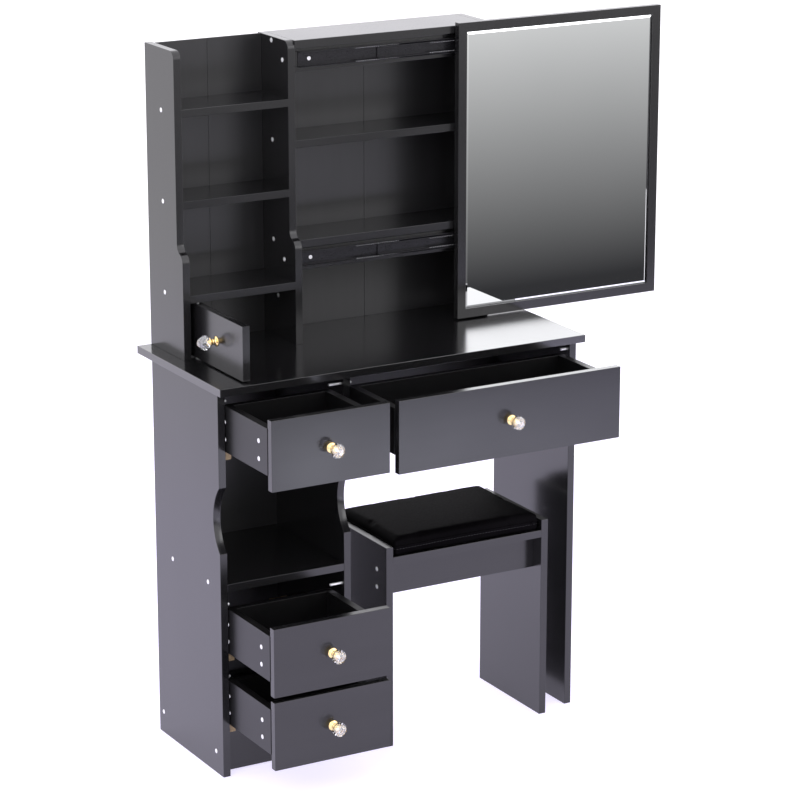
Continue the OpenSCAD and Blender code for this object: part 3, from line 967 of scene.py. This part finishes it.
@dataclass
class Slides:
    """Ball rows, cages and stamped slots of the telescopic slides."""

    palette: Palette
    repeater: Repeater
    wall: float = 1.2 * MM
    slot_steps: int = 9
    slot_lead: float = 0.45
    slot_shift: float = 3.4 * MM
    ball_radius: float = 0.9 * MM
    ball_gap: float = 2.0 * MM
    ball_depth: float = 1.6 * MM
    pitch: float = 4.0 * MM
    cage_length: float = 96.0 * MM
    cage_half: float = 0.8 * MM
    cage_back: float = 1.9 * MM
    cage_edge: float = 0.2 * MM
    channel_cage: float = 0.30
    middle_cage: float = 0.28

    def build(self) -> None:
        """Adds the details of the fixed channels and of the middle members."""
        self._dress("slide_channels", "desk", self.channel_cage)
        self._dress("slide_middle_members", "slide_middles", self.middle_cage)

    def _dress(self, node: str, body: str, cage_at: float) -> None:
        """Adds slots, a cage and balls to both slides of a node.

        Args:
            node: the frame node with the two members.
            body: the body they ride on.
            cage_at: where the ball cage starts, as a share of the length.
        """
        slots, balls, cages = [], [], []
        for low, high in islands(node):
            length, mid = high.x - low.x, (low.z + high.z) / 2
            for i in range(1, self.slot_steps):
                x = low.x + length * (i - self.slot_lead) / self.slot_steps
                z = mid + (0 if i % 3 else self.slot_shift)
                slots.append(Spot(Vector((x, high.y - self.wall, z)), Facing.FRONT))
            start = low.x + length * cage_at
            race = (high.z - low.z) / 2 - self.wall
            for side in (-1, 1):
                z = mid + side * (race - self.ball_gap / 2)
                for i in range(int(self.cage_length / self.pitch)):
                    balls.append(Spot(Vector((start + self.pitch * (i + 0.5), low.y + self.ball_depth, z))))
                near = Vector((start, low.y + self.wall, z - self.cage_half))
                far = Vector((start + self.cage_length, low.y + self.cage_back, z + self.cage_half))
                cages.append(soft_box(near, far, self.cage_edge))
        steel, race_steel = self.palette.slide_steel, self.palette.race_steel
        parts = (
            (self.repeater.copies(node + "_slots", self._slot(), slots, steel), "slide_steel"),
            (self.repeater.copies(node + "_balls", self._ball(), balls, race_steel), "zinc"),
            (joined(node + "_cages", cages, steel), "slide_steel"),
        )
        for piece, slot in parts:
            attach(piece, body)
            LOG.info("slide detail %s on %s", piece.name, body)

    def _ball(self) -> Mesh:
        """Returns a steel ball."""
        bm = bmesh.new()
        bmesh.ops.create_icosphere(bm, subdivisions=2, radius=self.ball_radius)
        return mesh_of(bm, "ball", smooth=True)

    @staticmethod
    def _slot() -> Mesh:
        """Makes the raised rim of a stamped oblong slot, standing on Z.

        Returns:
            The rim's mesh.
        """
        bm = bmesh.new()
        sides, half_length = 16, 3.6
        loops = []
        for radius, height in ((3.2, 0.0), (3.0, 0.35), (2.5, 0.35), (2.3, 0.05)):
            loop = []
            for i in range(sides):
                a = math.pi * 2 * (i + 0.5) / sides
                x = math.copysign(half_length, math.cos(a)) + radius * math.cos(a)
                loop.append(bm.verts.new((x * MM, radius * math.sin(a) * MM, height * MM)))
            loops.append(loop)
        loft(bm, loops)
        return mesh_of(bm, "slot")


@dataclass
class Backs:
    """Jointing strips where the thin back panels meet."""

    palette: Palette
    width: float = 7.0 * MM
    proud: float = 0.8 * MM
    sunk: float = 0.5 * MM
    short: float = 1.0 * MM
    edge: float = 0.3 * MM

    def build(self) -> None:
        """Adds one upright strip to the back of the column and one to the back of the bay."""
        strips = []
        for low, high in islands("hutch_back_panels"):
            x = (low.x + high.x) / 2
            near = Vector((x - self.width / 2, low.y - self.proud, low.z + self.short))
            far = Vector((x + self.width / 2, low.y + self.sunk, high.z - self.short))
            strips.append(soft_box(near, far, self.edge))
        piece = joined("back_joint_strips", strips, self.palette.backboard)
        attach(piece, "desk")
        LOG.info("back strips built")


@dataclass
class Cushion:
    """The stool's stuffed seat with its welt and stitches."""

    palette: Palette
    repeater: Repeater
    voxel: float = 4.0 * MM
    shrink: float = 2.5 * MM
    head_room: float = 4.0 * MM
    block_edge: float = 4.5 * MM
    frames: int = 20
    cap: float = 4.0 * MM
    crown: float = 2.0 * MM
    crown_shape: float = 0.45
    side_gap: float = 0.3 * MM
    corner: float = 14.0 * MM
    on_side: float = 1.0 * MM
    ray_start: float = 30.0 * MM
    seam_at: float = 0.52
    seam_step: float = 5.0 * MM
    stitch_drop: float = 5.0 * MM
    welt: float = 1.7 * MM
    stitch_gap: float = 6.5 * MM

    def build(self) -> None:
        """Makes the cushion, its welt and its stitches."""
        low, high = room("stool_cushion")
        pad = self._pad(low, high)
        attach(pad, "stool")
        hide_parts("stool_cushion")
        seam = self._seam(pad, low, high, self.seam_at)
        welt = new_piece("cushion_welt", self._tube(seam, self.welt), self.palette.leather)
        line = self._seam(pad, low, high, self.seam_at - self.stitch_drop / (high.z - low.z))
        stitches = self.repeater.follow("cushion_stitches", self._stitch(), line, self.stitch_gap,
                                        self.palette.thread)
        for piece in (welt, stitches):
            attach(piece, "stool")
            LOG.info("cushion piece %s", piece.name)

    def _pad(self, low: Vector, high: Vector) -> Object:
        """Blows up a slightly smaller block into a crowned pad.

        Args:
            low: the lowest corner of the room for the pad.
            high: its highest corner.

        Returns:
            The pad.
        """
        small = Vector((self.shrink, self.shrink, 0))
        top = Vector((self.shrink, self.shrink, self.head_room))
        mesh = soft_box(low + small, high - top, self.block_edge, "cushion_pad")
        pad = new_piece("cushion_pad", mesh, self.palette.leather)
        remesh = pad.modifiers.new("remesh", "REMESH")
        remesh.mode = "VOXEL"
        remesh.voxel_size = self.voxel
        remesh.use_smooth_shade = True
        bake(pad)
        rest = self._points(pad)
        self._inflate(pad)
        shift = self._points(pad) - rest
        far = np.linalg.norm(shift, axis=1, keepdims=True)
        moved = rest + shift * np.minimum(1.0, self.cap / np.maximum(far, 1e-9))
        u, v, height = np.clip((moved - np.array(low)) / np.array(high - low), 0, 1).T
        bulge = (np.sin(math.pi * u) * np.sin(math.pi * v)) ** self.crown_shape
        moved[:, 2] = np.maximum(moved[:, 2] + self.crown * bulge * height, low.z)
        moved[:, 0] = np.clip(moved[:, 0], low.x + self.side_gap, high.x - self.side_gap)
        pad.data.vertices.foreach_set("co", moved.ravel())
        pad.data.update()
        subdivide = pad.modifiers.new("soften", "SUBSURF")
        subdivide.levels = subdivide.render_levels = 1
        bake(pad)
        faces = pad.data.polygons
        faces.foreach_set("use_smooth", [True] * len(faces))
        LOG.info("cushion pad of %d faces", len(faces))
        return pad

    @staticmethod
    def _points(piece: Object) -> np.ndarray:
        """Reads where a piece's vertices are.

        Args:
            piece: the piece.

        Returns:
            An array with a row for each vertex.
        """
        out = np.empty(len(piece.data.vertices) * 3)
        piece.data.vertices.foreach_get("co", out)
        return out.reshape(-1, 3)

    def _inflate(self, pad: Object) -> None:
        """Runs the cloth simulation that fills the pad.

        Args:
            pad: the pad, still a rounded block.
        """
        cloth = pad.modifiers.new("cloth", "CLOTH")
        settings = cloth.settings
        settings.quality = 5
        settings.mass = 0.3
        settings.use_pressure = True
        settings.uniform_pressure_force = 3.0
        settings.tension_stiffness = settings.compression_stiffness = 20
        settings.bending_stiffness = 1.5
        settings.effector_weights.gravity = 0.0
        cloth.point_cache.frame_start, cloth.point_cache.frame_end = 1, self.frames
        scene = bpy.context.scene
        for frame in range(1, self.frames + 1):
            scene.frame_set(frame)
        bake(pad)
        scene.frame_set(1)

    def _seam(self, pad: Object, low: Vector, high: Vector, share: float) -> list[Vector]:
        """Lays a closed line round the pad's sides, on its surface.

        Args:
            pad: the finished pad.
            low: the lowest corner of its room.
            high: its highest corner.
            share: the line's height as a share of the pad's.

        Returns:
            The line's points.
        """
        tree = BVHTree.FromObject(pad, bpy.context.evaluated_depsgraph_get())
        mid, half = (low + high) / 2, (high - low) / 2
        z = low.z + (high.z - low.z) * share
        bend = 8
        path: list[Vector] = []
        for sx, sy, first in ((1, -1, -90), (1, 1, 0), (-1, 1, 90), (-1, -1, 180)):
            centre = Vector((mid.x + sx * (half.x - self.corner), mid.y + sy * (half.y - self.corner), z))
            for i in range(bend + 1):
                a = math.radians(first + 90 * i / bend)
                path.append(centre + self.corner * Vector((math.cos(a), math.sin(a), 0)))
        laid = []
        for a, b in zip(path, path[1:] + path[:1]):
            steps = max(1, round((b - a).length / self.seam_step))
            for i in range(steps):
                point = a.lerp(b, i / steps)
                inward = self._inward(point, mid, half)
                hit = tree.ray_cast(point - inward * self.ray_start, inward)[0]
                laid.append(hit if hit is not None else point)
        return laid

    def _inward(self, point: Vector, mid: Vector, half: Vector) -> Vector:
        """Finds the level way into the pad: square to a straight side, or to the middle at a corner.

        Args:
            point: a point of the pad's outline.
            mid: the pad's middle.
            half: half its size.

        Returns:
            A direction of length 1.
        """
        way = Vector((mid.x - point.x, mid.y - point.y, 0))
        across, deep = half.x - abs(way.x), half.y - abs(way.y)
        if min(across, deep) < self.on_side and max(across, deep) > self.corner:
            way[1 if across < deep else 0] = 0
        return way.normalized()

    @staticmethod
    def _tube(path: Sequence[Vector], radius: float, sides: int = 8) -> Mesh:
        """Sweeps a round section along a closed level path.

        Args:
            path: the path's points.
            radius: the section's radius, in metres.
            sides: how many sides the section has.

        Returns:
            The swept mesh.
        """
        bm = bmesh.new()
        n = len(path)
        rings = []
        for i, point in enumerate(path):
            along = (path[(i + 1) % n] - path[i - 1]).normalized()
            side = along.cross(Vector((0, 0, 1))).normalized()
            up = side.cross(along).normalized()
            rings.append([bm.verts.new(point + radius * (math.cos(a) * side + math.sin(a) * up))
                          for a in (2 * math.pi * k / sides for k in range(sides))])
        for i in range(n):
            skin(bm, rings[i], rings[(i + 1) % n])
        return mesh_of(bm, "welt", smooth=True)

    @staticmethod
    def _stitch() -> Mesh:
        """Returns one short stitch lying along Z."""
        return lathe("stitch", ((0.15, -1.9), (0.4, -1.3), (0.45, 0), (0.4, 1.3), (0.15, 1.9)), sides=6)


# ---- studio ----


@dataclass
class Studio:
    """Pale floor, even white surround, soft lamps and the camera."""

    palette: Palette
    floor_half: float = 40.0
    floor_drop: float = 0.5 * MM
    card_lift: float = 4.0 * MM
    surround: float = 1.8
    tint: tuple[float, float, float] = (0.965, 0.955, 1.0)
    azimuth: float = -29.62
    elevation: float = 16.107
    place: tuple[float, float, float] = (-2.7211, -5.1321, 2.3562)
    lens: float = 140.43

    def build(self) -> None:
        """Makes the floor, the surround, the lamps and the camera."""
        self._floor()
        self._surround()
        self._card("mirror_card", centre=(4.0, -6.41), half=(7.0, 3.8), across=False,
                   low=(0.035, 0.035, 0.038), high=(1.0, 1.0, 1.0))
        self._card("front_card", centre=(1.5, -2.20), half=(0.9, 0.40), across=True,
                   low=(3.7, 3.75, 4.3), high=(2.1, 2.0, 2.7))
        self._lamp("key_lamp", at=(-3.2, -2.6, 3.4), towards=(0.0, 0.0, 0.7), size=2.2, watts=60.0)
        self._lamp("fill_lamp", at=(3.0, -3.4, 2.2), towards=(0.1, 0.0, 0.7), size=2.0, watts=24.0)
        self._camera()
        view = bpy.context.scene.view_settings
        view.view_transform = "Standard"
        view.look = "None"

    def _floor(self) -> None:
        """Lays the floor."""
        bm = bmesh.new()
        bmesh.ops.create_grid(bm, x_segments=2, y_segments=2, size=self.floor_half)
        floor = new_piece("floor", mesh_of(bm, "floor"), self.palette.floor)
        floor.location.z = -self.floor_drop

    def _surround(self) -> None:
        """Lights everything evenly from a white surround."""
        world = bpy.data.worlds.new("white_surround")
        bpy.context.scene.world = world
        world.use_nodes = True
        background = world.node_tree.nodes["Background"]
        background.inputs["Color"].default_value = (*self.tint, 1.0)
        background.inputs["Strength"].default_value = self.surround

    def _card(self, name: str, centre: Sequence[float], half: Sequence[float], across: bool,
              low: Sequence[float], high: Sequence[float]) -> None:
        """Lays a glowing card on the floor that is seen only in reflections.

        Args:
            name: the card's name.
            centre: its middle on the floor, in metres.
            half: half its width and half its depth.
            across: whether its glow changes to the right, not towards the viewer.
            low: the glow at the left or back end.
            high: the glow at the other end.
        """
        bm = bmesh.new()
        bmesh.ops.create_grid(bm, x_segments=8, y_segments=8, size=1.0)
        card = new_piece(name, mesh_of(bm, name))
        card.scale = (*half, 1.0)
        card.location = (*centre, self.card_lift)
        shader = Shader(name)
        split = shader.add("ShaderNodeSeparateXYZ", Vector=shader.place)
        axis, first = ("X", -1.0) if across else ("Y", 1.0)
        turn = shader.add("ShaderNodeMapRange", Value=split.outputs[axis], From_Min=first, From_Max=-first)
        tint = shader.ramp(turn.outputs["Result"], low, high, start=0.02, end=0.85)
        emission = shader.add("ShaderNodeEmission", Color=tint)
        shader.feed(shader.tree.nodes["Material Output"], Surface=emission.outputs["Emission"])
        card.data.materials.append(shader.material)
        card.visible_camera = card.visible_diffuse = card.visible_shadow = False

    @staticmethod
    def _lamp(name: str, at: Sequence[float], towards: Sequence[float], size: float, watts: float) -> None:
        """Hangs one soft area lamp.

        Args:
            name: the lamp's name.
            at: where it hangs, in metres.
            towards: the point that it shines at.
            size: its width, in metres.
            watts: its power.
        """
        data = bpy.data.lights.new(name, "AREA")
        data.size = size
        data.energy = watts
        lamp = bpy.data.objects.new(name, data)
        lamp.location = at
        lamp.rotation_mode = "QUATERNION"
        lamp.rotation_quaternion = (Vector(towards) - Vector(at)).to_track_quat("-Z", "Y")
        bpy.context.collection.objects.link(lamp)

    def _camera(self) -> None:
        """Sets the camera."""
        data = bpy.data.cameras.new("camera")
        data.sensor_width = 36.0
        data.lens = self.lens
        data.clip_end = 100.0
        camera = bpy.data.objects.new("camera", data)
        a, e = math.radians(self.azimuth), math.radians(self.elevation)
        back = Vector((math.sin(a) * math.cos(e), -math.cos(a) * math.cos(e), math.sin(e)))
        camera.location = self.place
        camera.rotation_mode = "QUATERNION"
        camera.rotation_quaternion = back.to_track_quat("Z", "Y")
        bpy.context.collection.objects.link(camera)
        bpy.context.scene.camera = camera


FRAME: dict = {}


def main() -> None:
    """Builds the whole table in order."""
    logging.basicConfig(level=logging.INFO, format="%(name)s: %(message)s")
    FRAME.update(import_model())
    palette, repeater = Palette(), Repeater()
    Studio(palette).build()
    Carcass(palette).dress()
    Screws(palette, repeater).build()
    Knobs(palette, repeater).build()
    Mirror(palette).build()
    Slides(palette, repeater).build()
    Backs(palette).build()
    Cushion(palette, repeater).build()


if __name__ == "__main__":
    main()
